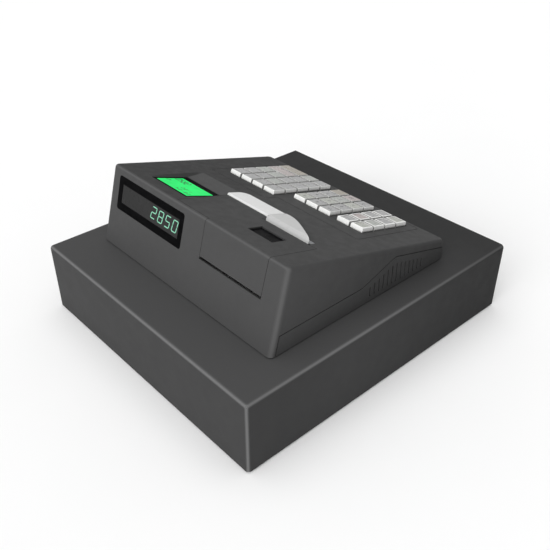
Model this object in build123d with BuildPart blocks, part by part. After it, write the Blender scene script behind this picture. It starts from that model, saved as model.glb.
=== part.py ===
from build123d import *
from math import asin, atan2, cos, degrees, radians, sin, tan
import os

# Electronic cash register standing on its cash drawer.
# Millimetres, +Z up, origin on the floor under the middle of the drawer.
# -Y is the operator's side, where the drawer opens; +Y is the customer's side.

os.makedirs("parts", exist_ok=True)

# ---------------------------------------------------------------- drawer cabinet
drawer_width = 340.0
drawer_depth = 375.0
drawer_height = 81.0
foot_stand = 2.0
foot_radius = 9.0
foot_inset = 24.0
sheet = 1.5
cabinet_edge = 4.0
rail_width = 9.0
rail_thickness = 1.5
rail_rear_room = 21.5
slide_gap = 0.3
flange_height = 34.0
flange_thickness = 1.5
flange_room = 2.0

# ---------------------------------------------------------------- drawer
front_gap = 1.0
front_depth = 14.0
front_wall = 3.0
front_corner = 2.5
front_ribs = 3
pull_width = 110.0
pull_height = 9.0
tray_side_gap = 10.5
tray_floor_z = 6.5
tray_wall = 1.2
tray_height = 58.0
latch_room = 31.0
tray_front_gap = 8.0
bracket_x = 95.0
insert_gap = 0.6
insert_wall = 2.5
insert_floor = 2.5
insert_height = 56.0
insert_rear_room = 18.4
coin_cup_length = 62.0
coin_cup_depth = 44.0
coin_scoop = 14.0
coin_columns = 5
coin_rows = 2
note_bays = 3
clip_width = 14.0
clip_thickness = 2.4
clip_length = 56.0
clip_rest_angle = 40.0
clip_pin_radius = 1.6
clip_pin_gap = 0.05
clip_pivot_drop = 5.0
lock_radius = 8.0
lock_gap = 0.08
lock_recess = 0.6
lock_height = 58.0
cam_reach = 19.0
cam_width = 9.0
cam_thickness = 2.0
cam_clearance = 0.6
tab_width = 12.0
tab_drop = 9.5
striker_reach = 10.0
striker_height = 31.0
striker_slot_width = 9.0
striker_slot_length = 6.0
hook_width = 6.0
hook_pivot_back = 9.5
hook_pin_radius = 1.5
hook_rest_gap = 1.2
hook_thickness = 4.0
solenoid_size = 20.0
solenoid_height = 16.0
solenoid_corner = 2.0
plunger_radius = 2.5

# ---------------------------------------------------------------- register case
deck_angle = 15.5
case_foot = 1.5
case_foot_radius = 8.0
case_half_width = 140.3
side_draft = 1.4
rear_base_y = 134.8
rear_wall_height = 90.0
front_top_y = -114.0
nose_y = -115.5
nose_drop = 5.5
front_base_y = -112.0
wall = 2.5
case_corner = 6.0
deck_edge = 3.0
edge_left_inside = 0.2
part_rear_height = 21.5
part_step_rear_y = 15.0
part_step_front_y = -33.7
part_front_drop = 9.6
part_gap = 0.8
boss_radius = 4.5
boss_inset = 16.3
boss_rear_inset = 38.8
boss_front_inset = 20.0
boss_joint_height = 15.0

vent_count = 13
vent_pitch = 6.63
vent_first_y = 2.8
vent_width = 1.8
vent_floor_height = 6.5
vent_margin = 8.0

# ---------------------------------------------------------------- displays
scoop_left_x = 93.0
scoop_right_x = 30.5
scoop_start = 16.5
scoop_low = 66.5
scoop_end = 88.5
scoop_depth = 3.5
scoop_end_spread = 3.0
scoop_end_depth = 0.05
display_margin = 1.2
display_flange = 3.0
display_flange_thickness = 1.5
display_module_depth = 4.5
display_fit = 0.25
customer_left_x = 123.0
customer_right_x = 7.0
customer_top = 7.7
customer_bottom = 45.5
customer_corner = 3.0
customer_window_left = 116.2
customer_window_right = 14.0
customer_window_top = 16.2
customer_window_bottom = 37.2
customer_window_depth = 0.8
customer_module_depth = 9.0

# ---------------------------------------------------------------- printer
cover_left_x = 27.0
cover_right_x = -113.2
cover_drop_left_x = -24.0
cover_drop = 38.4
finger_slot = 3.0
cover_gap = 0.4
cover_seam_back = 4.5
cover_step_x = -37.5
cover_to_paper = 0.7
cover_tab_width = 12.0
cover_tab_depth = 5.0
window_left_x = -54.0
window_right_x = -88.5
window_back = 26.5
window_front = 45.3
window_depth = 2.0
window_floor = 1.2
receipt_width = 59.3
receipt_x = -71.95
receipt_exit = 61.0
journal_width = 62.9
journal_x = -3.35
journal_exit = 69.9
slot_length = 2.6
slot_side_gap = 1.5
tear_tip_gap = 0.75
tear_depth = 1.6
tear_pitch = 2.0
tear_plate = 6.0
tear_thickness = 0.8
paper_thickness = 0.3
paper_gap = 0.3
paper_turn_depth = 5.5
paper_lift = 2.5
platen_radius = 6.0
platen_shaft_radius = 3.0
platen_deck_depth = 14.0
bearing_gap = 0.08
roll_radius = 23.0
roll_core_radius = 6.0
roll_y = 80.0
roll_height = 33.0
spindle_gap = 0.1
frame_plate = 1.4
frame_plate_gap = 1.2
frame_top_depth = 6.5
head_width = 5.0
head_clearance = 1.4
journal_reach = 24.2
journal_rise = 1.7
journal_bend = 1.3
journal_end_height = 0.8
journal_corner = 11.5
receipt_reach = 28.5
receipt_rise = 5.3
receipt_bend = 4.0
receipt_end_height = 4.1
receipt_tear = [(30.0, 26.8), (16.0, 26.0), (7.5, 22.5), (-1.6, 17.6), (-13.5, 10.5), (-30.3, 0.0)]

# ---------------------------------------------------------------- keyboard
key_pitch = 19.05
key_gap = 2.0
key_height = 4.6
key_skirt = 1.8
key_taper = 4.0
key_edge = 0.4
key_wall = 1.4
key_travel = 3.0
key_stem = 5.0
stem_gap = 0.25
stem_flange = 7.2
stem_flange_thickness = 0.9
label_inset = 0.6
label_depth = 0.35
well_depth = 5.6
well_floor = 1.6
well_wall = 1.5
function_start_x = 91.3
number_start_x = 4.5
department_start_x = -60.6
key_rows_end = 220.0
bezel_left_x = 103.0
bezel_right_x = -109.0
bezel_step_x = 9.0
bezel_rear_function = 108.0
bezel_rear_number = 124.5
bezel_front = 227.0
bezel_thickness = 1.2
bezel_ledge = 4.0
bezel_gap = 0.5
bezel_corner = 3.0
post_radius = 3.0
board_thickness = 1.6
board_margin = 5.0
board_gap = 0.3
post_places = [(85.0, 118.0), (9.8, 135.0), (-95.0, 135.0), (9.8, 210.0), (-56.6, 210.0)]

# ---------------------------------------------------------------- derived places
cabinet_bottom = foot_stand
tray_length = drawer_depth - front_depth - tray_front_gap - latch_room
rail_length = drawer_depth - front_depth - tray_front_gap - sheet - rail_rear_room
drawer_top = foot_stand + drawer_height
cabinet_half_width = drawer_width / 2
cabinet_half_depth = drawer_depth / 2
inner_half_width = cabinet_half_width - sheet
inner_top = drawer_top - sheet
case_bottom = drawer_top + case_foot
boss_x = case_half_width - boss_inset
boss_rear_y = rear_base_y - boss_rear_inset
boss_front_y = front_base_y + boss_front_inset
rear_top_y = rear_base_y - rear_wall_height * sin(radians(deck_angle))
rear_top_z = drawer_top + rear_wall_height * cos(radians(deck_angle))
case_floor_top = case_bottom + wall
up_slope = Vector(0, cos(radians(deck_angle)), sin(radians(deck_angle)))
deck_normal = Vector(0, -sin(radians(deck_angle)), cos(radians(deck_angle)))
deck = Plane(origin=(0, rear_top_y, rear_top_z), x_dir=(1, 0, 0), z_dir=deck_normal)
rear_wall_plane = Plane(origin=(0, rear_top_y, rear_top_z), x_dir=(-1, 0, 0), z_dir=up_slope)


def deck_z(y):
    """Height of the deck at a distance y along the register."""
    return rear_top_z - (rear_top_y - y) * tan(radians(deck_angle))


def deck_point(x, down, height):
    """Point given by its distance down the deck and its height above it."""
    return Vector(0, rear_top_y, rear_top_z) + Vector(x, 0, 0) - up_slope * down + deck_normal * height


def slope_side(x):
    """Plane across the register at x: local X runs down the deck, local Y stands on it."""
    return Plane(origin=(x, rear_top_y, rear_top_z), x_dir=-up_slope, z_dir=(-1, 0, 0))


def finish(builder, name):
    """Labels a finished piece and writes it."""
    builder.part.label = name
    export_step(builder.part, f"parts/{name}.step")


def span(low, high, bottom, top):
    """Rectangle between two corners of the sketch it is drawn in."""
    with Locations(((low + high) / 2, (bottom + top) / 2)):
        Rectangle(high - low, top - bottom)


# ================================================================ drawer cabinet
front_y = -cabinet_half_depth
rail_z = flange_height - slide_gap
rail_start = front_y + front_depth + tray_front_gap
flange_reach = tray_side_gap - flange_room
tray_half_width = inner_half_width - tray_side_gap
tray_front_y = front_y + front_depth + tray_front_gap
tray_rear_y = tray_front_y + tray_length
front_back_y = front_y + front_depth
cam_y = front_back_y - cam_clearance - cam_thickness
tab_y = cam_y - cam_clearance
hook_pivot_y = cabinet_half_depth - sheet - hook_pivot_back
hook_pivot_z = striker_height - hook_rest_gap - hook_thickness

with BuildPart() as drawer_housing:
    with BuildSketch(Plane.XY.offset(cabinet_bottom)):
        Rectangle(drawer_width, drawer_depth)
    extrude(amount=drawer_height)
    fillet(drawer_housing.edges().filter_by(Axis.Z).sort_by(Axis.Y)[-2:], cabinet_edge)
    top_rim = drawer_housing.faces().sort_by(Axis.Z)[-1].edges().sort_by(Axis.Y)[1:]
    fillet(top_rim, cabinet_edge)
    with BuildSketch(Plane.XZ.offset(cabinet_half_depth)):
        with Locations((0, cabinet_bottom + drawer_height / 2)):
            Rectangle(2 * inner_half_width, drawer_height - 2 * sheet)
    extrude(amount=-(drawer_depth - sheet), mode=Mode.SUBTRACT)
    # rails above and below the tray's flanges
    for side in (-1, 1):
        for low in (rail_z - rail_thickness, flange_height + flange_thickness + slide_gap):
            with BuildSketch(Plane.XY.offset(low)):
                with Locations((side * (inner_half_width - rail_width / 2), rail_start + rail_length / 2)):
                    Rectangle(rail_width, rail_length)
            extrude(amount=rail_thickness)
    # tab that the lock's cam catches
    with BuildSketch(Plane.XZ.offset(-tab_y)):
        with Locations((0, inner_top - tab_drop / 2)):
            Rectangle(tab_width, tab_drop)
    extrude(amount=sheet)
    # ears of the latch hook
    ear_half_height = 2 * hook_pin_radius
    for side in (-1, 1):
        ear_x = side * (hook_width / 2 + slide_gap + sheet / 2)
        with BuildSketch(Plane.YZ.offset(ear_x)):
            span(
                hook_pivot_y - ear_half_height,
                cabinet_half_depth - sheet / 2,
                hook_pivot_z - ear_half_height,
                hook_pivot_z + ear_half_height,
            )
        extrude(amount=sheet / 2, both=True)
    with BuildSketch(Plane.YZ):
        with Locations((hook_pivot_y, hook_pivot_z)):
            Circle(hook_pin_radius)
    extrude(amount=hook_width / 2 + slide_gap + sheet, both=True)
finish(drawer_housing, "drawer_housing")

with BuildPart() as rubber_feet:
    with BuildSketch():
        with GridLocations(drawer_width - 2 * foot_inset, drawer_depth - 2 * foot_inset, 2, 2):
            Circle(foot_radius)
    extrude(amount=foot_stand)
    chamfer(rubber_feet.faces().sort_by(Axis.Z)[:4].edges(), foot_stand / 3)
finish(rubber_feet, "rubber_feet")

# ================================================================ drawer
front_half_width = inner_half_width - front_gap
front_low = cabinet_bottom + sheet + front_gap
front_high = inner_top - front_gap
lock_z = lock_height

with BuildPart() as drawer_front:
    with BuildSketch(Plane.XZ.offset(cabinet_half_depth)):
        with Locations((0, (front_low + front_high) / 2)):
            RectangleRounded(2 * front_half_width, front_high - front_low, front_corner)
    extrude(amount=-front_depth)
    fillet(drawer_front.faces().sort_by(Axis.Y)[0].edges(), front_wall / 3)
    with BuildSketch(Plane.XZ.offset(-front_back_y)):
        with Locations((0, (front_low + front_high) / 2)):
            Rectangle(2 * (front_half_width - front_wall), front_high - front_low - 2 * front_wall)
    extrude(amount=front_depth - front_wall, mode=Mode.SUBTRACT)
    # stiffening ribs, and the collar around the lock
    rib_pitch = front_half_width / (front_ribs + 1)
    for rib in range(1, front_ribs + 1):
        for side in (-1, 1):
            with BuildSketch(Plane.XZ.offset(-front_back_y)):
                with Locations((side * rib * rib_pitch, (front_low + front_high) / 2)):
                    Rectangle(front_wall / 2, front_high - front_low - front_wall)
            extrude(amount=front_depth - front_wall / 2)
    with BuildSketch(Plane.XZ.offset(cabinet_half_depth - front_wall / 2)):
        with Locations((0, lock_z)):
            Circle(lock_radius + front_wall)
    extrude(amount=-(cam_y - cam_clearance - front_y - front_wall / 2))
    with BuildSketch(Plane.XZ.offset(cabinet_half_depth)):
        with Locations((0, lock_z)):
            Circle(lock_radius + lock_gap)
    extrude(amount=-front_depth, mode=Mode.SUBTRACT)
    # notch in the top wall for the cam and the cabinet's tab
    notch_front = tab_y - sheet - cam_clearance
    with BuildSketch(Plane.XY.offset(front_high - 2 * front_wall)):
        with Locations((0, (notch_front + front_back_y) / 2)):
            Rectangle(2 * cam_width, front_back_y - notch_front)
    extrude(amount=3 * front_wall, mode=Mode.SUBTRACT)
    # finger pull along the lower edge
    with BuildSketch(Plane.YZ):
        with BuildLine():
            pull_top = (front_y, front_low + pull_height)
            pull_back = (front_y + front_depth - 2 * front_wall, front_low)
            Polyline((front_y, front_low), pull_top, pull_back, (front_y, front_low))
        make_face()
    extrude(amount=pull_width / 2, both=True, mode=Mode.SUBTRACT)
finish(drawer_front, "drawer_front")

with BuildPart() as drawer_lock:
    with BuildSketch(Plane.XZ.offset(cabinet_half_depth - lock_recess)):
        with Locations((0, lock_z)):
            Circle(lock_radius)
    extrude(amount=-(cam_y - front_y - lock_recess))
    chamfer(drawer_lock.faces().sort_by(Axis.Y)[0].edges(), lock_recess)
    with BuildSketch(Plane.XZ.offset(cabinet_half_depth - lock_recess)):
        with Locations((0, lock_z)):
            Rectangle(lock_radius / 5, lock_radius)
    extrude(amount=-front_wall, mode=Mode.SUBTRACT)
    with BuildSketch(Plane.XZ.offset(-cam_y)):
        with Locations((0, lock_z)):
            Circle(lock_radius)
        with Locations((cam_reach / 2, lock_z)):
            Rectangle(cam_reach, cam_width)
    extrude(amount=-cam_thickness)
finish(drawer_lock, "drawer_lock")

with BuildPart() as drawer_tray:
    with BuildSketch(Plane.XY.offset(tray_floor_z)):
        with Locations((0, (tray_front_y + tray_rear_y) / 2)):
            Rectangle(2 * tray_half_width, tray_length)
    extrude(amount=tray_height)
    with BuildSketch(Plane.XY.offset(tray_floor_z + tray_wall)):
        with Locations((0, (tray_front_y + tray_rear_y) / 2)):
            Rectangle(2 * (tray_half_width - tray_wall), tray_length - 2 * tray_wall)
    extrude(amount=tray_height, mode=Mode.SUBTRACT)
    for side in (-1, 1):
        with BuildSketch(Plane.XY.offset(flange_height)):
            with Locations((side * (tray_half_width + flange_reach / 2), (tray_front_y + tray_rear_y) / 2)):
                Rectangle(flange_reach, tray_length)
        extrude(amount=flange_thickness)
        # bracket that carries the front panel
        with BuildSketch(Plane.XY.offset(tray_floor_z)):
            with Locations((side * bracket_x, tray_front_y - tray_front_gap / 2)):
                Rectangle(3 * tray_front_gap, tray_front_gap)
        extrude(amount=tray_front_gap)
finish(drawer_tray, "drawer_tray")

with BuildPart() as latch_striker:
    with BuildSketch(Plane.XY.offset(striker_height)):
        with Locations((0, tray_rear_y + striker_reach / 2)):
            Rectangle(3 * striker_slot_width, striker_reach)
            Rectangle(striker_slot_width, striker_slot_length, mode=Mode.SUBTRACT)
    extrude(amount=flange_thickness)
    with BuildSketch(Plane.XY.offset(striker_height)):
        with Locations((0, tray_rear_y + flange_thickness / 2)):
            Rectangle(3 * striker_slot_width, flange_thickness)
    extrude(amount=striker_reach)
finish(latch_striker, "latch_striker")

# ---------------------------------------------------------------- till insert
insert_half_width = tray_half_width - tray_wall - insert_gap
insert_front_y = tray_front_y + tray_wall + insert_gap
insert_base_z = tray_floor_z + tray_wall
insert_top_z = insert_base_z + insert_height
coin_block = coin_rows * (coin_cup_length + insert_wall) + insert_wall
note_bay_length = tray_length - 2 * (tray_wall + insert_gap) - coin_block - insert_wall - insert_rear_room
insert_rear_y = insert_front_y + coin_block + note_bay_length + insert_wall
note_bay_width = (2 * insert_half_width - (note_bays + 1) * insert_wall) / note_bays
coin_cup_width = (2 * insert_half_width - (coin_columns + 1) * insert_wall) / coin_columns
note_bay_y = insert_front_y + coin_block + note_bay_length / 2
clip_pivot_y = insert_rear_y - insert_wall - 2 * clip_thickness
clip_pivot_z = insert_top_z - clip_pivot_drop
clip_bracket_gap = 0.4
clip_ear = clip_pin_radius + insert_wall

with BuildPart() as till_insert:
    with BuildSketch(Plane.XY.offset(insert_base_z)):
        with Locations((0, (insert_front_y + insert_rear_y) / 2)):
            Rectangle(2 * insert_half_width, insert_rear_y - insert_front_y)
    extrude(amount=insert_height)
    fillet(till_insert.edges().filter_by(Axis.Z), insert_wall)
    with BuildSketch(Plane.XY.offset(insert_base_z + insert_floor)):
        with Locations((0, note_bay_y)):
            with GridLocations(note_bay_width + insert_wall, 1, note_bays, 1):
                Rectangle(note_bay_width, note_bay_length)
    extrude(amount=insert_height, mode=Mode.SUBTRACT)
    # coin cups: straight sides, scooped front and back
    for row in range(coin_rows):
        cup_front = insert_front_y + insert_wall + row * (coin_cup_length + insert_wall)
        cup_back = cup_front + coin_cup_length
        cup_low = insert_top_z - coin_cup_depth
        for column in range(coin_columns):
            cup_x = (column - (coin_columns - 1) / 2) * (coin_cup_width + insert_wall)
            with BuildSketch(Plane.YZ.offset(cup_x)) as cup:
                span(cup_front, cup_back, cup_low, insert_top_z + insert_floor)
                fillet(cup.vertices().sort_by(Axis.Y)[:2], coin_scoop)
            extrude(amount=coin_cup_width / 2, both=True, mode=Mode.SUBTRACT)
    # ears for the note clips on the rear wall
    for bay in range(note_bays):
        bay_x = (bay - (note_bays - 1) / 2) * (note_bay_width + insert_wall)
        for side in (-1, 1):
            ear_x = bay_x + side * (clip_width / 2 + clip_bracket_gap + insert_wall / 2)
            with BuildSketch(Plane.YZ.offset(ear_x)):
                span(
                    clip_pivot_y - clip_ear,
                    insert_rear_y - insert_wall / 2,
                    clip_pivot_z - clip_ear,
                    clip_pivot_z + clip_ear,
                )
                with Locations((clip_pivot_y, clip_pivot_z)):
                    Circle(clip_pin_radius + clip_pin_gap, mode=Mode.SUBTRACT)
            extrude(amount=insert_wall / 2, both=True)
finish(till_insert, "till_insert")


def make_clip(name, x):
    """Note clip at rest: an arm with a rolled tip, on its own pin."""
    tip_y = clip_pivot_y - clip_length * cos(radians(clip_rest_angle))
    tip_z = clip_pivot_z - clip_length * sin(radians(clip_rest_angle))
    with BuildPart() as clip:
        with BuildSketch(Plane.YZ.offset(x)):
            with BuildLine():
                arm = Line((clip_pivot_y, clip_pivot_z), (tip_y, tip_z))
            with Locations((clip_pivot_y, clip_pivot_z)):
                Circle(clip_thickness)
            trace(arm, clip_thickness)
            with Locations((tip_y, tip_z + clip_thickness / 2)):
                Circle(clip_thickness)
        extrude(amount=clip_width / 2, both=True)
        with BuildSketch(Plane.YZ.offset(x)):
            with Locations((clip_pivot_y, clip_pivot_z)):
                Circle(clip_pin_radius)
        extrude(amount=clip_width / 2 + clip_bracket_gap + insert_wall, both=True)
    finish(clip, name)


for bay in range(note_bays):
    make_clip(f"note_clip_{bay + 1}", (bay - (note_bays - 1) / 2) * (note_bay_width + insert_wall))

# ---------------------------------------------------------------- latch
slot_y = tray_rear_y + striker_reach / 2
with BuildPart() as latch_hook:
    with BuildSketch(Plane.YZ):
        with BuildLine():
            Polyline(
                (hook_pivot_y, hook_pivot_z + hook_thickness / 2),
                (slot_y + striker_slot_length / 4, hook_pivot_z + hook_thickness / 2),
                (slot_y + striker_slot_length / 4, striker_height - hook_rest_gap),
                (slot_y - striker_slot_length / 4, striker_height - hook_rest_gap),
                (slot_y - striker_slot_length / 4, hook_pivot_z - hook_thickness / 2),
                (hook_pivot_y, hook_pivot_z - hook_thickness / 2),
                close=True,
            )
        make_face()
        with Locations((hook_pivot_y, hook_pivot_z)):
            Circle(2 * hook_pin_radius)
            Circle(hook_pin_radius + clip_pin_gap, mode=Mode.SUBTRACT)
    extrude(amount=hook_width / 2, both=True)
finish(latch_hook, "latch_hook")

plunger_y = (hook_pivot_y + slot_y) / 2
with BuildPart() as latch_solenoid:
    with BuildSketch(Plane.XY.offset(cabinet_bottom + sheet)):
        with Locations((0, plunger_y)):
            RectangleRounded(solenoid_size, solenoid_size, solenoid_corner)
    extrude(amount=solenoid_height)
    with BuildSketch(Plane.XY.offset(cabinet_bottom + sheet + solenoid_height)):
        with Locations((0, plunger_y)):
            Circle(plunger_radius)
    extrude(amount=hook_pivot_z - hook_thickness / 2 - slide_gap - cabinet_bottom - sheet - solenoid_height)
finish(latch_solenoid, "latch_solenoid")


# ================================================================ register case
def case_form(inset):
    """The case's outer form, or the same form drawn in by a wall."""
    with BuildPart() as form:
        with BuildSketch(Plane.YZ):
            with BuildLine():
                Polyline(
                    (rear_base_y - case_foot * tan(radians(deck_angle)), case_bottom),
                    (rear_top_y, rear_top_z),
                    (front_top_y, deck_z(front_top_y)),
                    (nose_y, deck_z(front_top_y) - nose_drop),
                    (front_base_y, case_bottom),
                    close=True,
                )
            make_face()
            if inset:
                offset(amount=-inset, kind=Kind.INTERSECTION)
        extrude(amount=case_half_width, both=True)
        with BuildSketch(Plane.XY.offset(case_bottom)):
            Rectangle(2 * (case_half_width - inset), 2 * drawer_depth)
        extrude(amount=drawer_width, taper=side_draft, mode=Mode.INTERSECT)
        left, right = form.faces().sort_by(Axis.X)[0], form.faces().sort_by(Axis.X)[-1]
        rear = form.faces().sort_by(Axis.Y)[-1]
        nose = form.faces().sort_by(Axis.Y)[0]
        corners = (rear.edges() & left.edges()) + (rear.edges() & right.edges())
        corners += (nose.edges() & left.edges()) + (nose.edges() & right.edges())
        fillet(corners, case_corner - inset)
        top = form.faces().sort_by(Axis((0, 0, 0), deck_normal))[-1]
        fillet(top.edges(), deck_edge - inset + edge_left_inside)
    return form.part


# ---------------------------------------------------------------- parting line
part_rear_z = drawer_top + part_rear_height


def part_z(y):
    """Height of the parting line on the side wall."""
    if y > part_step_rear_y:
        return part_rear_z
    step_front_z = deck_z(part_step_front_y) - part_front_drop
    if y < part_step_front_y:
        return deck_z(y) - part_front_drop
    share = (part_step_rear_y - y) / (part_step_rear_y - part_step_front_y)
    return part_rear_z + share * (step_front_z - part_rear_z)


def part_space(above):
    """Everything above or below the parting line, half the gap away from it."""
    shift = -part_gap / 2 if above else part_gap / 2
    # the rear wall belongs to the upper half, down to the foot
    seam_foot_y = rear_base_y - case_corner + shift
    seam_lean = (part_rear_z + shift - drawer_top) * tan(radians(deck_angle))
    outline = [
        (seam_foot_y, drawer_top),
        (seam_foot_y - seam_lean, part_rear_z + shift),
        (part_step_rear_y, part_rear_z + shift),
        (part_step_front_y, part_z(part_step_front_y) + shift),
        (-drawer_depth, part_z(-drawer_depth) + shift),
    ]
    if above:
        sky = 2 * rear_top_z
        outline += [(-drawer_depth, sky), (drawer_depth, sky), (drawer_depth, drawer_top)]
    else:
        outline += [(-drawer_depth, -rear_top_z), (seam_foot_y, -rear_top_z)]
    with BuildPart() as space:
        with BuildSketch(Plane.YZ):
            with BuildLine():
                Polyline(*outline, close=True)
            make_face()
        extrude(amount=drawer_width, both=True)
    return space.part


case_outside = case_form(0)
case_inside = case_form(wall)
boss_joint_z = drawer_top + boss_joint_height
boss_places = [(x, y) for x in (-boss_x, boss_x) for y in (boss_front_y, boss_rear_y)]

# ---------------------------------------------------------------- lower case
with BuildPart() as lower_case:
    add(case_outside)
    add(case_inside, mode=Mode.SUBTRACT)
    add(part_space(True), mode=Mode.SUBTRACT)
    with BuildSketch(Plane.XY.offset(drawer_top)):
        with Locations(*boss_places):
            Circle(case_foot_radius)
    extrude(amount=case_foot + wall / 2)
    with BuildSketch(Plane.XY.offset(case_bottom + wall / 2)):
        with Locations(*boss_places):
            Circle(boss_radius)
    extrude(amount=boss_joint_z - case_bottom - wall / 2)
    # vent slots through both side walls, their tops following the parting line
    vent_floor_z = drawer_top + vent_floor_height
    with BuildSketch(Plane.YZ):
        for vent in range(vent_count):
            vent_y = vent_first_y - vent * vent_pitch
            span(vent_y - vent_width / 2, vent_y + vent_width / 2, vent_floor_z, part_z(vent_y) - vent_margin)
    extrude(amount=case_half_width + wall, both=True, mode=Mode.SUBTRACT)
finish(lower_case, "lower_case")

# ---------------------------------------------------------------- printer cover's room
through = 3 * wall
receipt_edge = receipt_exit - cover_to_paper
journal_edge = journal_exit - cover_to_paper


def cover_space(gap, drop):
    """Room of the printer cover, grown by a gap, with its rear flap reaching down by drop."""
    with BuildPart() as space:
        with BuildSketch(deck.offset(-through)):
            span(cover_right_x - gap, cover_left_x + gap, -receipt_edge - gap, gap - cover_seam_back)
            span(cover_step_x - gap, cover_left_x + gap, -journal_edge - gap, -cover_seam_back)
        extrude(amount=2 * through)
        with BuildSketch(slope_side(cover_drop_left_x + gap)):
            span(-through, cover_seam_back + wall, -through, through)
            span(-through, cover_seam_back, -drop, through)
        extrude(amount=cover_drop_left_x - cover_right_x + 2 * gap)
    return space.part


def bezel_outline(inset):
    """Stepped outline of the keyboard panel, drawn in on the deck plane in use."""
    with BuildSketch(mode=Mode.PRIVATE) as outline:
        with BuildLine():
            Polyline(
                (bezel_left_x, -bezel_rear_function),
                (bezel_step_x, -bezel_rear_function),
                (bezel_step_x, -bezel_rear_number),
                (bezel_right_x, -bezel_rear_number),
                (bezel_right_x, -bezel_front),
                (bezel_left_x, -bezel_front),
                close=True,
            )
        make_face()
        fillet(outline.vertices(), bezel_corner)
        if inset:
            offset(amount=-inset, kind=Kind.INTERSECTION)
    return outline.sketch


# the display stands on the scoop's long slope
scoop_angle = deck_angle + Vector(scoop_low - scoop_start, scoop_depth, 0).get_angle(Vector(1, 0, 0))
scoop_length = Vector(scoop_low - scoop_start, scoop_depth, 0).length
scoop_mid_x = (scoop_left_x + scoop_right_x) / 2
display_plane = Plane(
    origin=deck_point(scoop_mid_x, scoop_start, 0),
    x_dir=(1, 0, 0),
    z_dir=(0, -sin(radians(scoop_angle)), cos(radians(scoop_angle))),
)
display_width = scoop_left_x - scoop_right_x - 2 * display_margin
display_length = scoop_length - 2 * display_margin
customer_mid_x = (customer_left_x + customer_right_x) / 2
customer_width = customer_left_x - customer_right_x
customer_height = customer_bottom - customer_top


def scoop_outline(hand, depth):
    """Long and short slope of the display scoop, on a plane across the register."""
    return [
        (scoop_start, 0),
        (scoop_low, -hand * depth),
        (scoop_end, 0),
        (scoop_end, hand * through),
        (scoop_start, hand * through),
    ]


journal_slot_x = journal_x + journal_width / 2 + slot_side_gap
journal_slot_end_x = journal_x - journal_width / 2 - slot_side_gap
receipt_slot_x = receipt_x + receipt_width / 2 + slot_side_gap
receipt_slot_end_x = receipt_x - receipt_width / 2 - slot_side_gap
slots = [
    (journal_slot_x, journal_slot_end_x, journal_exit, journal_edge),
    (receipt_slot_x, receipt_slot_end_x, receipt_exit, receipt_edge),
]

# ---------------------------------------------------------------- upper case
with BuildPart() as upper_case:
    add(case_outside)
    add(case_inside, mode=Mode.SUBTRACT)
    # screw bosses, kept inside the deck
    with BuildPart(mode=Mode.PRIVATE) as bosses:
        with BuildSketch(Plane.XY.offset(boss_joint_z)):
            with Locations(*boss_places):
                Circle(boss_radius)
        extrude(amount=drawer_depth)
        add(case_form(wall / 2), mode=Mode.INTERSECT)
    add(part_space(False), mode=Mode.SUBTRACT)
    add(bosses.part)
    # material behind the display scoop
    with BuildSketch(slope_side(scoop_left_x + wall)):
        with BuildLine():
            Polyline(
                (scoop_start - wall, -wall / 2),
                (scoop_start, -wall),
                (scoop_low, -scoop_depth - wall),
                (scoop_end + wall, -wall),
                (scoop_end + wall, -wall / 2),
                close=True,
            )
        make_face()
    extrude(amount=scoop_left_x - scoop_right_x + 2 * wall)
    # display scoop with sloping ends, and display window
    for side, end_x in ((-1, scoop_right_x), (1, scoop_left_x)):
        end_plane = Plane(origin=deck_point(end_x, 0, 0), x_dir=-up_slope, z_dir=(side, 0, 0))
        for place, depth in ((end_plane, scoop_depth), (end_plane.offset(scoop_end_spread), scoop_end_depth)):
            with BuildSketch(place):
                with BuildLine():
                    Polyline(*scoop_outline(-side, depth), close=True)
                make_face()
        loft(ruled=True, mode=Mode.SUBTRACT)
    with BuildSketch(slope_side(scoop_left_x)):
        with BuildLine():
            Polyline(*scoop_outline(1, scoop_depth), close=True)
        make_face()
    extrude(amount=scoop_left_x - scoop_right_x, mode=Mode.SUBTRACT)
    with BuildSketch(display_plane.offset(-through)):
        span(-display_width / 2, display_width / 2, -display_margin - display_length, -display_margin)
    extrude(amount=2 * through, mode=Mode.SUBTRACT)
    # customer display window in the rear wall
    with BuildSketch(rear_wall_plane.offset(-through)):
        with Locations((-customer_mid_x, -(customer_top + customer_bottom) / 2)):
            RectangleRounded(customer_width, customer_height, customer_corner)
    extrude(amount=2 * through, mode=Mode.SUBTRACT)
    # printer bay, paper slots and the seats of the tear bars
    add(cover_space(cover_gap, cover_drop + finger_slot), mode=Mode.SUBTRACT)
    for slot_x, slot_end_x, exit_down, edge_down in slots:
        with BuildSketch(deck.offset(-through)):
            span(slot_end_x, slot_x, -exit_down - slot_length, -edge_down)
        extrude(amount=2 * through, mode=Mode.SUBTRACT)
        with BuildSketch(deck.offset(-tear_thickness - slide_gap)):
            seat_down = exit_down + tear_tip_gap + tear_depth + tear_plate + slide_gap
            span(slot_end_x, slot_x, -seat_down, -exit_down)
        extrude(amount=2 * through, mode=Mode.SUBTRACT)
    # seat and opening of the keyboard panel
    with BuildSketch(deck.offset(-bezel_thickness)):
        add(bezel_outline(-bezel_gap))
    extrude(amount=through, mode=Mode.SUBTRACT)
    with BuildSketch(deck.offset(-2 * through)):
        add(bezel_outline(bezel_ledge))
    extrude(amount=3 * through, mode=Mode.SUBTRACT)
finish(upper_case, "upper_case")

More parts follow.
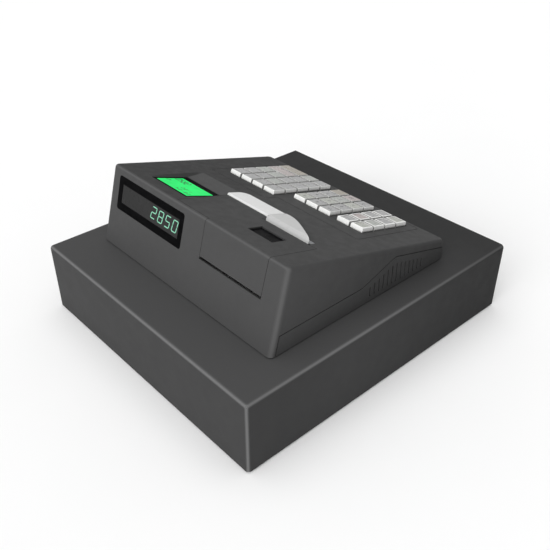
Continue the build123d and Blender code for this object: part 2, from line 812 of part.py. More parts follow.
# ---------------------------------------------------------------- displays
with BuildPart() as operator_display:
    low, high = -display_margin - display_length, -display_margin
    with BuildSketch(display_plane.offset(-wall - slide_gap)):
        half_width = display_width / 2 - display_fit
        span(-half_width, half_width, low + display_fit, high - display_fit)
    extrude(amount=wall)
    with BuildSketch(display_plane.offset(-wall - slide_gap - display_flange_thickness)):
        span(-display_width / 2, display_width / 2, low - display_flange, high + display_flange)
    extrude(amount=display_flange_thickness)
    with BuildSketch(display_plane.offset(-wall - slide_gap - display_flange_thickness)):
        half_width = display_width / 2 - display_flange
        span(-half_width, half_width, low, high - display_flange)
    extrude(amount=-display_module_depth)

with BuildPart() as customer_display:
    with BuildSketch(rear_wall_plane.offset(-wall)):
        with Locations((-customer_mid_x, -(customer_top + customer_bottom) / 2)):
            RectangleRounded(
                customer_width - 2 * display_fit,
                customer_height - 2 * display_fit,
                customer_corner - display_fit,
            )
    extrude(amount=wall - slide_gap / 2)
    with BuildSketch(rear_wall_plane.offset(-wall - display_flange_thickness)):
        with Locations((-customer_mid_x, -(customer_top + customer_bottom) / 2)):
            Rectangle(customer_width + display_flange, customer_height + display_flange)
    extrude(amount=display_flange_thickness)
    with BuildSketch(rear_wall_plane.offset(-wall - display_flange_thickness)):
        span(-customer_window_left, -customer_window_right, -customer_window_bottom, -customer_window_top)
    extrude(amount=-customer_module_depth)
    with BuildSketch(rear_wall_plane.offset(-customer_window_depth)):
        span(-customer_window_left, -customer_window_right, -customer_window_bottom, -customer_window_top)
    extrude(amount=wall, mode=Mode.SUBTRACT)

# the two modules share a node, each as its own solid
with BuildPart() as display_modules:
    add(operator_display.part)
    add(customer_display.part)
finish(display_modules, "display_modules")

# ---------------------------------------------------------------- printer cover
with BuildPart() as printer_cover:
    add(case_outside)
    add(case_inside, mode=Mode.SUBTRACT)
    add(cover_space(0, cover_drop), mode=Mode.INTERSECT)
    # tabs that hold the cover sideways in its opening
    for tab_x in (cover_left_x - sheet, cover_right_x):
        with BuildSketch(slope_side(tab_x + sheet)):
            for tab_down in (cover_seam_back + cover_tab_width, receipt_edge - cover_tab_width):
                tab_half = cover_tab_width / 2
                span(tab_down - tab_half, tab_down + tab_half, -wall - cover_tab_depth, -wall / 2)
        extrude(amount=sheet)
    # recess of the dark window
    with BuildSketch(deck.offset(-window_depth - window_floor)):
        span(window_right_x - wall, window_left_x + wall, -window_front - wall, -window_back + wall)
    extrude(amount=window_depth)
    with BuildSketch(deck.offset(-window_depth)):
        span(window_right_x, window_left_x, -window_front, -window_back)
    extrude(amount=through, mode=Mode.SUBTRACT)
finish(printer_cover, "printer_cover")

# ---------------------------------------------------------------- printer
platen_down = receipt_exit - paper_thickness / 2 - paper_gap - platen_radius
roll_z = drawer_top + roll_height
platen_centre = deck_point(0, platen_down, -platen_deck_depth)
strips = [(journal_x, journal_width), (receipt_x, receipt_width)]
plate_left_x = journal_x + journal_width / 2 + frame_plate_gap
plate_right_x = receipt_x - receipt_width / 2 - frame_plate_gap - frame_plate
plate_mid_x = (journal_x - journal_width / 2 + receipt_x + receipt_width / 2 - frame_plate) / 2
frame_front_y = rear_top_y - journal_exit
frame_rear_y = roll_y + roll_radius - frame_top_depth
frame_top_drop = frame_top_depth / cos(radians(deck_angle))
head_back = receipt_exit + 2 * head_clearance
head_top = -platen_deck_depth - 2 * paper_gap

with BuildPart() as printer_chassis:
    for plate_x in (plate_left_x, plate_mid_x, plate_right_x):
        with BuildSketch(Plane.YZ.offset(plate_x)):
            with BuildLine():
                Polyline(
                    (frame_front_y, case_floor_top),
                    (frame_rear_y, case_floor_top),
                    (frame_rear_y, roll_z + 2 * roll_core_radius),
                    (roll_y - roll_core_radius, deck_z(roll_y) - 2 * frame_top_drop),
                    (platen_centre.Y, deck_z(platen_centre.Y) - frame_top_drop),
                    (frame_front_y, deck_z(frame_front_y) - frame_top_drop),
                    close=True,
                )
            make_face()
            with Locations((platen_centre.Y, platen_centre.Z)):
                Circle(platen_shaft_radius + bearing_gap, mode=Mode.SUBTRACT)
        extrude(amount=frame_plate)
    frame_width = plate_left_x - plate_right_x + frame_plate
    with BuildSketch(Plane.YZ.offset(plate_right_x)):
        span(frame_front_y, frame_rear_y, case_floor_top, case_floor_top + frame_plate)
        with Locations((roll_y, roll_z)):
            Circle(roll_core_radius)
    extrude(amount=frame_width)
    # print head bar
    with BuildSketch(slope_side(plate_left_x + frame_plate)):
        span(head_back, head_back + head_width, -platen_deck_depth - platen_radius, head_top)
    extrude(amount=frame_width)

with BuildPart() as platen_roller:
    with BuildSketch(Plane.YZ.offset(plate_right_x - frame_plate)):
        with Locations((platen_centre.Y, platen_centre.Z)):
            Circle(platen_shaft_radius)
    extrude(amount=frame_width + 2 * frame_plate)
    for strip_x, strip_width in strips:
        with BuildSketch(Plane.YZ.offset(strip_x)):
            with Locations((platen_centre.Y, platen_centre.Z)):
                Circle(platen_radius)
        extrude(amount=strip_width / 2, both=True)
finish(platen_roller, "platen_roller")

with BuildPart() as paper_rolls:
    for strip_x, strip_width in strips:
        with BuildSketch(Plane.YZ.offset(strip_x)):
            with Locations((roll_y, roll_z)):
                Circle(roll_radius)
                Circle(roll_core_radius + spindle_gap, mode=Mode.SUBTRACT)
        extrude(amount=strip_width / 2, both=True)
finish(paper_rolls, "paper_rolls")

with BuildPart() as tear_bars:
    for slot_x, slot_end_x, exit_down, edge_down in slots:
        bar_left_x = slot_x - slide_gap
        bar_right_x = slot_end_x + slide_gap
        tooth_count = int((bar_left_x - bar_right_x) / tear_pitch)
        tip_down = -exit_down - tear_tip_gap
        with BuildSketch(deck.offset(-tear_thickness - paper_gap / 3)):
            span(bar_right_x, bar_left_x, tip_down - tear_depth - tear_plate, tip_down - tear_depth)
            for tooth in range(tooth_count):
                tooth_x = bar_left_x - (tooth + 0.5) * tear_pitch
                with BuildLine():
                    Polyline(
                        (tooth_x - tear_pitch / 2, tip_down - tear_depth),
                        (tooth_x, tip_down),
                        (tooth_x + tear_pitch / 2, tip_down - tear_depth),
                        close=True,
                    )
                make_face()
        extrude(amount=tear_thickness)

# the chassis and its tear bars share a node, each as its own solid
with BuildPart() as printer_frame:
    add(printer_chassis.part)
    add(tear_bars.part)
finish(printer_frame, "printer_frame")

# ---------------------------------------------------------------- paper
roll_from_edge = Vector(0, rear_top_y - roll_y, rear_top_z - roll_z)
roll_down = roll_from_edge.dot(up_slope)
roll_deep = roll_from_edge.dot(deck_normal)
roll_to_platen = Vector(platen_down - roll_down, roll_deep - platen_deck_depth, 0)
paper_lean = degrees(atan2(roll_to_platen.X, roll_to_platen.Y))
paper_lean -= degrees(asin((roll_radius - platen_radius) / roll_to_platen.length))
paper_out = Vector(cos(radians(paper_lean)), -sin(radians(paper_lean)), 0)
paper_up = Vector(sin(radians(paper_lean)), cos(radians(paper_lean)), 0)
paper_offset = paper_gap + paper_thickness / 2
roll_touch = Vector(roll_down, -roll_deep, 0) + paper_out * (roll_radius + paper_offset)
platen_touch = Vector(platen_down, -platen_deck_depth, 0) + paper_out * (platen_radius + paper_offset)


def paper_strip(x, width, exit_down, rise, bend, reach, end_height):
    """Strip from its roll past the platen, out of its slot and bent over the deck."""
    with BuildSketch(slope_side(x + width / 2)) as strip:
        with BuildLine():
            FilletPolyline(
                roll_touch,
                platen_touch + paper_up * paper_lift,
                (exit_down, -paper_turn_depth),
                (exit_down, rise),
                (exit_down + reach, end_height),
                radius=bend,
            )
            offset(amount=paper_thickness / 2, side=Side.BOTH)
        make_face()
    return strip.sketch


with BuildPart() as paper_strips:
    journal_feed = paper_strip(
        journal_x, journal_width, journal_exit, journal_rise, journal_bend, journal_reach, journal_end_height
    )
    extrude(journal_feed, amount=journal_width)
    # rounded corner of the journal strip
    with BuildSketch(deck):
        with BuildLine():
            corner = (journal_x + journal_width / 2 + paper_gap, -journal_exit - journal_reach - paper_gap)
            low_end = (corner[0] - journal_corner, corner[1])
            high_end = (corner[0], corner[1] + journal_corner)
            Line(low_end, corner)
            Line(corner, high_end)
            RadiusArc(high_end, low_end, journal_corner)
        make_face()
    extrude(amount=2 * through, mode=Mode.SUBTRACT)
    receipt_feed = paper_strip(
        receipt_x, receipt_width, receipt_exit, receipt_rise, receipt_bend, receipt_reach, receipt_end_height
    )
    extrude(receipt_feed, amount=receipt_width)
    # torn end of the receipt strip
    with BuildSketch(deck):
        with BuildLine():
            tear = Spline(*[(receipt_x + across, -receipt_exit - down) for across, down in receipt_tear])
            Polyline(
                tear @ 1,
                (receipt_x - receipt_width, -receipt_exit - 2 * receipt_reach),
                (receipt_x + receipt_width / 2 + paper_gap, -receipt_exit - 2 * receipt_reach),
                tear @ 0,
            )
        make_face()
    extrude(amount=2 * through, mode=Mode.SUBTRACT)
finish(paper_strips, "paper_strips")

# ---------------------------------------------------------------- keyboard panel
key_size = key_pitch - key_gap
well_floor_top = -well_depth
well_underside = well_floor_top - well_floor
flange_top = well_underside - slide_gap
board_top = flange_top - stem_flange_thickness - key_travel - board_gap


def row_down(rows, row):
    """Distance down the deck of a row counted from the rear of its group."""
    return key_rows_end - (rows - row - 0.5) * key_pitch


def column_x(start, column, columns_wide=1):
    """Middle of a key whose first column is counted from the group's +X side."""
    return start - (column + columns_wide / 2) * key_pitch


department_keys = []
for row in range(4):
    department_keys += [(column_x(department_start_x, column), row_down(4, row)) for column in (1, 0)]
number_keys = []
for row in range(4):
    number_keys += [(column_x(number_start_x, column), row_down(4, row)) for column in (2, 1, 0)]
function_spots = [(row, column) for row in range(3) for column in (3, 2, 1, 0)]
function_spots += [(row, column) for row in (3, 4) for column in (3, 2)]
function_keys = [(column_x(function_start_x, column), row_down(5, row)) for row, column in function_spots]
total_keys = [(column_x(function_start_x, 0, 2), row_down(5, row)) for row in (3, 4)]
all_keys = department_keys + number_keys + function_keys + total_keys
wells = [(department_start_x, 2, 4), (number_start_x, 3, 4), (function_start_x, 4, 5)]

with BuildPart() as keyboard_bezel:
    with BuildSketch(deck.offset(-bezel_thickness)):
        add(bezel_outline(0))
    extrude(amount=bezel_thickness)
    for start, columns, rows in wells:
        well_x = start - columns * key_pitch / 2
        well_down = key_rows_end - rows * key_pitch / 2
        with BuildSketch(deck.offset(well_underside)):
            with Locations((well_x, -well_down)):
                Rectangle(columns * key_pitch + 2 * well_wall, rows * key_pitch + 2 * well_wall)
        extrude(amount=-well_underside - bezel_thickness / 2)
        with BuildSketch(deck.offset(well_floor_top)):
            with Locations((well_x, -well_down)):
                Rectangle(columns * key_pitch, rows * key_pitch)
        extrude(amount=2 * well_depth, mode=Mode.SUBTRACT)
    with BuildSketch(deck.offset(well_underside - well_floor)):
        with Locations(*[(x, -down) for x, down in all_keys]):
            Rectangle(key_stem + 2 * stem_gap, key_stem + 2 * stem_gap)
    extrude(amount=3 * well_floor, mode=Mode.SUBTRACT)
    # posts that carry the main board
    with BuildSketch(deck.offset(board_top)):
        with Locations(*[(x, -down) for x, down in post_places]):
            Circle(post_radius)
    extrude(amount=-board_top - bezel_thickness / 2)
finish(keyboard_bezel, "keyboard_bezel")

with BuildPart() as main_board:
    with BuildSketch(deck.offset(board_top - board_thickness)):
        add(bezel_outline(board_margin))
    extrude(amount=board_thickness)
finish(main_board, "main_board")


# ---------------------------------------------------------------- keys
def make_key(name, place, width=key_size, labelled=False):
    """Hollow tapered cap on a square stem, held from below by the stem's foot."""
    x, down = place
    with BuildPart() as key:
        cap_base = Plane(origin=deck_point(x, down, -key_skirt), x_dir=(1, 0, 0), z_dir=deck_normal)
        cap_height = key_skirt + key_height
        with BuildSketch(cap_base):
            Rectangle(width, key_size)
        extrude(amount=cap_height, taper=key_taper)
        chamfer(key.faces().sort_by(Axis((0, 0, 0), deck_normal))[-1].edges(), key_edge)
        with BuildSketch(cap_base):
            Rectangle(width - 2 * key_wall, key_size - 2 * key_wall)
        extrude(amount=cap_height - key_wall, taper=key_taper, mode=Mode.SUBTRACT)
        if labelled:
            with BuildSketch(cap_base.offset(cap_height - label_depth)):
                Rectangle(width - 2 * key_wall - 2 * label_inset, key_size - 2 * key_wall - 2 * label_inset)
            extrude(amount=label_depth, mode=Mode.SUBTRACT)
        foot_plane = Plane(
            origin=deck_point(x, down, flange_top - stem_flange_thickness), x_dir=(1, 0, 0), z_dir=deck_normal
        )
        with BuildSketch(foot_plane):
            Rectangle(stem_flange, stem_flange)
        extrude(amount=stem_flange_thickness)
        with BuildSketch(foot_plane):
            Rectangle(key_stem, key_stem)
        extrude(amount=stem_flange_thickness - flange_top + key_height - key_wall / 2)
    finish(key, name)


for index, place in enumerate(department_keys):
    make_key(f"key_department_{index + 1}", place, labelled=True)
number_names = ["number_7", "number_8", "number_9", "number_4", "number_5", "number_6"]
number_names += ["number_1", "number_2", "number_3", "number_0", "double_zero", "point"]
for number_name, place in zip(number_names, number_keys):
    make_key(f"key_{number_name}", place)
for index, place in enumerate(function_keys):
    make_key(f"key_function_{index + 1}", place)
for total_name, place in zip(["subtotal", "total"], total_keys):
    make_key(f"key_{total_name}", place, width=key_pitch + key_size)
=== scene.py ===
"""Finishes and fine pieces of a ticket register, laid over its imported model."""

import math
import random

import bmesh
import bpy
from bpy.props import FloatProperty, FloatVectorProperty, PointerProperty, StringProperty
from mathutils import Euler, Matrix, Vector


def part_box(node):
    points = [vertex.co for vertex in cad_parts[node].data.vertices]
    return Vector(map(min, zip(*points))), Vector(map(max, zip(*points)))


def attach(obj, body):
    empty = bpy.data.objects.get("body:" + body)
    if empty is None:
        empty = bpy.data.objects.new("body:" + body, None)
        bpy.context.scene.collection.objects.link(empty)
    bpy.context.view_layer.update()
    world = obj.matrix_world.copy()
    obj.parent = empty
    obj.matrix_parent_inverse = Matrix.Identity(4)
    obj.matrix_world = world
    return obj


bl_info = {
    "name": "Ticket Register Finishes",
    "version": (1, 0, 0),
    "blender": (4, 5, 0),
    "location": "3D View > Sidebar > Register",
    "description": "Dresses the ticket register with its finishes, displays, key labels and paper",
    "category": "Object",
}

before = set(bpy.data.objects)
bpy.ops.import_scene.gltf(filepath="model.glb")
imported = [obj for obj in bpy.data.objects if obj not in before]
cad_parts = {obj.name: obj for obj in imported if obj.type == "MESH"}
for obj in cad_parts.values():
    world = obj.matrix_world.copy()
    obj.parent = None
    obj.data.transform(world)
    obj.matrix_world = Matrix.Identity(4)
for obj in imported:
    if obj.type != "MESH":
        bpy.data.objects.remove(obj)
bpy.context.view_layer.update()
MM = 0.001

# ---------------------------------------------------------------- places on the register
DECK_ANGLE = math.radians(15.5)
REAR_BASE_Y = 134.8 * MM
REAR_WALL_HEIGHT = 90.0 * MM
DRAWER_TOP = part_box("drawer_housing")[1].z
UP_SLOPE = Vector((0, math.cos(DECK_ANGLE), math.sin(DECK_ANGLE)))
DECK_NORMAL = Vector((0, -math.sin(DECK_ANGLE), math.cos(DECK_ANGLE)))
ACROSS = Vector((1, 0, 0))
REAR_TOP = Vector((0, REAR_BASE_Y, DRAWER_TOP)) + REAR_WALL_HEIGHT * DECK_NORMAL


def deck_place(x, down, height):
    """Point on the deck: across, down the slope from the rear edge, and above it, in mm."""
    return REAR_TOP + ACROSS * x * MM - UP_SLOPE * down * MM + DECK_NORMAL * height * MM


def wall_place(x, down, out):
    """Point on the rear wall: across, down from its top edge, and out of it, in mm."""
    return REAR_TOP + ACROSS * x * MM - DECK_NORMAL * down * MM + UP_SLOPE * out * MM


# the operator's display lies on the scoop's long slope
SCOOP_START = 16.5
SCOOP_TILT = math.atan2(3.5, 50.0)
SCOOP_DOWN = -UP_SLOPE * math.cos(SCOOP_TILT) - DECK_NORMAL * math.sin(SCOOP_TILT)
SCOOP_NORMAL = DECK_NORMAL * math.cos(SCOOP_TILT) - UP_SLOPE * math.sin(SCOOP_TILT)


def scoop_place(x, down, height):
    """Point on the display scoop: across, down its slope and above it, in mm."""
    return deck_place(x, SCOOP_START, 0) + (SCOOP_DOWN * down + SCOOP_NORMAL * height) * MM


def on_deck(point):
    """Across, down and height in mm of a point of the model."""
    offset = point - REAR_TOP
    return offset.x / MM, -offset.dot(UP_SLOPE) / MM, offset.dot(DECK_NORMAL) / MM


# ---------------------------------------------------------------- settings
def colour_setting(name, description, default):
    """Setting that holds a colour."""
    return FloatVectorProperty(name=name, description=description, subtype="COLOR", default=default)


def number_setting(name, description, default, low=0.0, high=100.0):
    """Setting that holds a number between two limits."""
    return FloatProperty(name=name, description=description, default=default, min=low, max=high)


class RegisterColours(bpy.types.PropertyGroup):
    """Colours of the register's plastics, paint, keys and displays."""

    case: colour_setting("Case", "Charcoal plastic of the case", (0.058, 0.058, 0.0583))
    cabinet: colour_setting("Cabinet", "Powder coat of the cash drawer", (0.042, 0.042, 0.0423))
    key: colour_setting("Keys", "Clear white plastic of the key caps", (0.93, 0.93, 0.915))
    segments: colour_setting("Customer digits", "Lit segments", (0.25, 0.6, 0.42))
    glass: colour_setting("Operator glass", "Backlit display", (0.012, 0.78, 0.15))
    paper: colour_setting("Paper", "Till roll paper", (0.74, 0.74, 0.735))


class RegisterDisplay(bpy.types.PropertyGroup):
    """What the customer display shows, and the size of its digits."""

    amount: StringProperty(name="Amount", description="Digits shown to the customer", default="2850")
    digit_width: number_setting("Digit width", "Width in mm", 8.2, 2, 20)
    digit_height: number_setting("Digit height", "Height in mm", 13.5, 3, 20)
    digit_pitch: number_setting("Digit pitch", "Spacing in mm", 12.2, 3, 30)
    slant: number_setting("Slant", "Lean of the digits", 0.2, 0, 0.5)


class RegisterStage(bpy.types.PropertyGroup):
    """Floor, light and camera."""

    floor_size: number_setting("Floor size", "Width of the floor in metres", 14.0)
    daylight: number_setting("Daylight", "Strength of the white surroundings", 0.55)
    rear_light: number_setting("Rear light", "Strength of the soft light behind", 2.0)
    top_light: number_setting("Top light", "Strength of the soft light above", 0.95)
    focal: number_setting("Focal length", "Focal length in picture widths", 717.956 / 550)


# ---------------------------------------------------------------- materials
COAT_ROUGHNESS = 0.1


def new_material(name, colour, roughness, metallic=0.0, specular=0.5, coat=0.0):
    """Principled material with its uniform values set on the shader itself."""
    material = bpy.data.materials.new(name)
    material.use_nodes = True
    shader = material.node_tree.nodes["Principled BSDF"]
    shader.inputs["Base Color"].default_value = (*colour, 1)
    shader.inputs["Roughness"].default_value = roughness
    shader.inputs["Metallic"].default_value = metallic
    shader.inputs["Specular IOR Level"].default_value = specular
    shader.inputs["Coat Weight"].default_value = coat
    shader.inputs["Coat Roughness"].default_value = COAT_ROUGHNESS
    return material


def shader_of(material):
    """The material's Principled shader."""
    return material.node_tree.nodes["Principled BSDF"]


def add_noise(material, size, detail=3.0, stretch=(1, 1, 1)):
    """Noise with features of a size in mm, stretched along the axes."""
    tree = material.node_tree
    place = tree.nodes.new("ShaderNodeTexCoord")
    mapping = tree.nodes.new("ShaderNodeMapping")
    mapping.inputs["Scale"].default_value = stretch
    noise = tree.nodes.new("ShaderNodeTexNoise")
    noise.inputs["Scale"].default_value = 1 / (size * MM)
    noise.inputs["Detail"].default_value = detail
    tree.links.new(place.outputs["Object"], mapping.inputs["Vector"])
    tree.links.new(mapping.outputs["Vector"], noise.inputs["Vector"])
    return noise.outputs["Fac"]


def ramp(material, factor, stops):
    """Colour ramp over a factor, from (position, colour) pairs."""
    tree = material.node_tree
    node = tree.nodes.new("ShaderNodeValToRGB")
    while len(node.color_ramp.elements) < len(stops):
        node.color_ramp.elements.new(0.5)
    for element, (position, colour) in zip(node.color_ramp.elements, stops):
        element.position = position
        element.color = (*colour, 1)
    tree.links.new(factor, node.inputs["Fac"])
    return node.outputs["Color"]


def shade(colour, share):
    """A colour made lighter or darker by a share."""
    return tuple(min(1.0, part * share) for part in colour)


def mottle(material, colour, spread, size, detail=4.0, stretch=(1, 1, 1)):
    """Uneven colour: darker and lighter by a share, in patches of a size in mm."""
    noise = add_noise(material, size, detail, stretch)
    colours = ramp(material, noise, [(0.3, shade(colour, 1 - spread)), (0.7, shade(colour, 1 + spread))])
    material.node_tree.links.new(colours, shader_of(material).inputs["Base Color"])


def uneven_gloss(material, low, high, size, stretch=(1, 1, 1)):
    """Roughness that wanders between two values in patches of a size in mm."""
    tree = material.node_tree
    noise = add_noise(material, size, 3.0, stretch)
    spread = tree.nodes.new("ShaderNodeMapRange")
    spread.inputs["From Min"].default_value = 0.35
    spread.inputs["From Max"].default_value = 0.65
    spread.inputs["To Min"].default_value = low
    spread.inputs["To Max"].default_value = high
    tree.links.new(noise, spread.inputs["Value"])
    tree.links.new(spread.outputs["Result"], shader_of(material).inputs["Roughness"])


def grain(material, size, depth, detail=2.0, stretch=(1, 1, 1)):
    """Raised grain of a size in mm and a depth in mm."""
    tree = material.node_tree
    bump = tree.nodes.new("ShaderNodeBump")
    bump.inputs["Distance"].default_value = depth * MM
    bump.inputs["Strength"].default_value = 0.6
    tree.links.new(add_noise(material, size, detail, stretch), bump.inputs["Height"])
    tree.links.new(bump.outputs["Normal"], shader_of(material).inputs["Normal"])


def mix_in(material, factor, colour, blend="MIX"):
    """Lays a colour over the surface's own colour, or multiplies it in, where the factor is high."""
    tree = material.node_tree
    base = shader_of(material).inputs["Base Color"]
    mix = tree.nodes.new("ShaderNodeMix")
    mix.data_type = "RGBA"
    mix.blend_type = blend
    tree.links.new(factor, mix.inputs["Factor"])
    tree.links.new(base.links[0].from_socket, mix.inputs["A"])
    mix.inputs["B"].default_value = (*colour, 1)
    tree.links.new(mix.outputs["Result"], base)


def step_between(material, value, low, high, most=1.0):
    """Rises from nothing at low to its most at high."""
    tree = material.node_tree
    step = tree.nodes.new("ShaderNodeMapRange")
    step.inputs["From Min"].default_value = low
    step.inputs["From Max"].default_value = high
    step.inputs["To Max"].default_value = most
    tree.links.new(value, step.inputs["Value"])
    return step.outputs["Result"]


def maths(material, operation, first, second):
    """Product or greater of two values."""
    tree = material.node_tree
    node = tree.nodes.new("ShaderNodeMath")
    node.operation = operation
    tree.links.new(first, node.inputs[0])
    tree.links.new(second, node.inputs[1])
    return node.outputs["Value"]


def facing(material, tilt):
    """X, Y and Z of the surface's direction, seen from an upright turned by a tilt about X."""
    tree = material.node_tree
    place = tree.nodes.new("ShaderNodeTexCoord")
    turn = tree.nodes.new("ShaderNodeVectorRotate")
    turn.rotation_type = "X_AXIS"
    turn.inputs["Angle"].default_value = -tilt
    parts = tree.nodes.new("ShaderNodeSeparateXYZ")
    tree.links.new(place.outputs["Normal"], turn.inputs["Vector"])
    tree.links.new(turn.outputs["Vector"], parts.inputs["Vector"])
    return parts.outputs["X"], parts.outputs["Y"], parts.outputs["Z"]


def place_on(material):
    """X, Y and Z of the surface's place in the model, in metres."""
    tree = material.node_tree
    place = tree.nodes.new("ShaderNodeTexCoord")
    parts = tree.nodes.new("ShaderNodeSeparateXYZ")
    tree.links.new(place.outputs["Object"], parts.inputs["Vector"])
    return parts.outputs["X"], parts.outputs["Y"], parts.outputs["Z"]


def dim_where(material, first, second, share):
    """Painted shade: darkens the surface's own colour to a share where both factors are high."""
    mix_in(material, maths(material, "MULTIPLY", first, second), (share, share, share), "MULTIPLY")


def painted_round_highlight(material, colour, strength, tilt=0.0, rear_only=False):
    """Painted highlight on rounds: lighter where the surface faces none of the box's own directions."""
    tree = material.node_tree
    directions = facing(material, tilt)
    sizes = []
    for direction in directions:
        size = tree.nodes.new("ShaderNodeMath")
        size.operation = "ABSOLUTE"
        tree.links.new(direction, size.inputs[0])
        sizes.append(size.outputs["Value"])
    greatest = maths(material, "MAXIMUM", maths(material, "MAXIMUM", sizes[0], sizes[1]), sizes[2])
    round_highlight = step_between(material, greatest, 0.985, 0.8, strength)
    if rear_only:
        round_highlight = maths(material, "MULTIPLY", round_highlight, step_between(material, directions[1], 0.15, 0.5))
    mix_in(material, round_highlight, colour)


def painted_edge_highlight(material, colour, radius, strength):
    """Painted highlight on edges: lighter where the rounded direction leaves the flat one, within a radius
    in mm.
    """
    tree = material.node_tree
    rounded = tree.nodes.new("ShaderNodeBevel")
    rounded.inputs["Radius"].default_value = radius * MM
    flat = tree.nodes.new("ShaderNodeNewGeometry")
    dot = tree.nodes.new("ShaderNodeVectorMath")
    dot.operation = "DOT_PRODUCT"
    tree.links.new(rounded.outputs["Normal"], dot.inputs[0])
    tree.links.new(flat.outputs["Normal"], dot.inputs[1])
    mix_in(material, step_between(material, dot.outputs["Value"], 1.0, 0.8, strength), colour)


def painted_gap_shade(material, colour, reach, closed, free, where=None):
    """Painted shade: darker where neighbours stand close, within a reach in mm, all over or where a factor
    is high.
    """
    tree = material.node_tree
    openness = tree.nodes.new("ShaderNodeAmbientOcclusion")
    openness.samples = 8
    openness.inputs["Distance"].default_value = reach * MM
    near = step_between(material, openness.outputs["AO"], free, closed)
    if where:
        near = maths(material, "MULTIPLY", near, where)
    mix_in(material, near, colour)


def glow(material, colour, strength):
    """Light given off by the surface."""
    shader = shader_of(material)
    shader.inputs["Emission Color"].default_value = (*colour, 1)
    shader.inputs["Emission Strength"].default_value = strength


def moulded_case(colour):
    """Charcoal plastic with a fine grain, with painted shade on the deck's right and on the left side
    towards the front, a painted lighter scoop slope, a painted highlight on the rear rounds and painted
    shade in the seams.
    """
    material = new_material("moulded_case", colour, 0.62, specular=0.12)
    mottle(material, colour, 0.025, 28.0)
    across, along, _ = place_on(material)
    sideways, rearward, upward = facing(material, DECK_ANGLE)
    # painted shade: the deck darker on the right, and the left side darker towards the front
    on_top = step_between(material, upward, 0.5, 0.9)
    dim_where(material, on_top, step_between(material, across, 5 * MM, 45 * MM), 0.72)
    on_left = step_between(material, sideways, -0.3, -0.8)
    dim_where(material, on_left, step_between(material, along, 110 * MM, -30 * MM), 0.68)
    # painted light: the front slope of the display scoop, which leans a little to the rear, is painted
    # lighter
    gentle_slope = step_between(material, upward, 0.9, 0.98)
    scoop = maths(material, "MULTIPLY", gentle_slope, step_between(material, rearward, 0.06, 0.14))
    mix_in(material, scoop, shade(colour, 1.25))
    # painted highlight on the rounds that face the rear
    painted_round_highlight(material, shade(colour, 1.5), 0.9, DECK_ANGLE, rear_only=True)
    # painted shade in the seams, where neighbours stand close
    painted_gap_shade(material, shade(colour, 0.25), 2.0, 0.3, 0.8)
    uneven_gloss(material, 0.56, 0.68, 9.0)
    grain(material, 0.55, 0.03)
    return material


def powder_coat(colour):
    """Textured powder coat on folded sheet, with painted light: tops painted lighter, a painted highlight
    along the folds and painted shade towards the front.
    """
    material = new_material("powder_coat", colour, 0.6, specular=0.08)
    mottle(material, colour, 0.025, 60.0)
    _, _, upward = facing(material, 0.0)
    # painted light: faces that look up are painted lighter
    mix_in(material, step_between(material, upward, 0.8, 0.97), shade(colour, 1.5))
    # painted highlight along the folds
    painted_round_highlight(material, shade(colour, 3.1), 1.0)
    _, along, _ = place_on(material)
    # painted shade: darker towards the front
    mix_in(material, step_between(material, along, 50 * MM, -170 * MM), (0.5, 0.5, 0.5), "MULTIPLY")
    uneven_gloss(material, 0.57, 0.63, 14.0)
    grain(material, 0.8, 0.05, 3.0)
    return material


def drawer_panel(colour):
    """Smooth painted panel of the drawer's front."""
    material = new_material("drawer_panel", colour, 0.5)
    mottle(material, colour, 0.06, 60.0, stretch=(0.4, 1, 1))
    # painted highlight along the edges
    painted_edge_highlight(material, shade(colour, 1.6), 0.6, 0.5)
    uneven_gloss(material, 0.44, 0.56, 18.0)
    grain(material, 1.1, 0.03)
    return material


def black_rubber():
    """Dusty black rubber."""
    material = new_material("black_rubber", (0.02, 0.02, 0.02), 0.85, specular=0.3)
    mottle(material, (0.022, 0.022, 0.021), 0.35, 4.0)
    uneven_gloss(material, 0.75, 0.92, 3.0)
    grain(material, 0.4, 0.04)
    return material


def zinc_plate():
    """Zinc-plated sheet with its cloudy spangle."""
    material = new_material("zinc_plate", (0.55, 0.56, 0.57), 0.38, metallic=1.0)
    mottle(material, (0.53, 0.545, 0.56), 0.08, 11.0, 6.0)
    uneven_gloss(material, 0.32, 0.42, 7.0)
    grain(material, 1.4, 0.012, 4.0)
    return material


def brushed_steel(name, colour):
    """Stamped steel, brushed along X."""
    material = new_material(name, colour, 0.35, metallic=1.0)
    mottle(material, colour, 0.12, 2.0, 4.0, (0.05, 1, 1))
    uneven_gloss(material, 0.25, 0.45, 1.5, (0.05, 1, 1))
    grain(material, 0.3, 0.008, 3.0, (0.05, 1, 1))
    return material


def plated_lock():
    """Bright plating with fine turning marks."""
    material = new_material("plated_lock", (0.7, 0.7, 0.71), 0.16, metallic=1.0)
    mottle(material, (0.68, 0.68, 0.69), 0.08, 1.2)
    uneven_gloss(material, 0.1, 0.26, 0.9)
    grain(material, 0.25, 0.006)
    return material


def till_plastic():
    """Black moulded insert with uneven tone and gloss."""
    material = new_material("till_plastic", (0.035, 0.035, 0.037), 0.5)
    mottle(material, (0.036, 0.036, 0.038), 0.2, 12.0, 6.0)
    # painted highlight along the edges
    painted_edge_highlight(material, (0.09, 0.09, 0.092), 0.6, 0.5)
    uneven_gloss(material, 0.36, 0.62, 6.0)
    grain(material, 0.7, 0.03)
    return material


def clip_plastic():
    """Dark springy plastic of the note clips."""
    material = new_material("clip_plastic", (0.085, 0.085, 0.09), 0.42)
    mottle(material, (0.085, 0.085, 0.09), 0.1, 6.0)
    # painted highlight along the edges
    painted_edge_highlight(material, (0.16, 0.16, 0.165), 0.4, 0.5)
    grain(material, 0.5, 0.02)
    return material


def lacquered_can():
    """Lacquered steel can of the release solenoid."""
    material = new_material("lacquered_can", (0.13, 0.13, 0.15), 0.4, metallic=0.6)
    mottle(material, (0.13, 0.13, 0.15), 0.12, 5.0)
    grain(material, 0.5, 0.015)
    return material


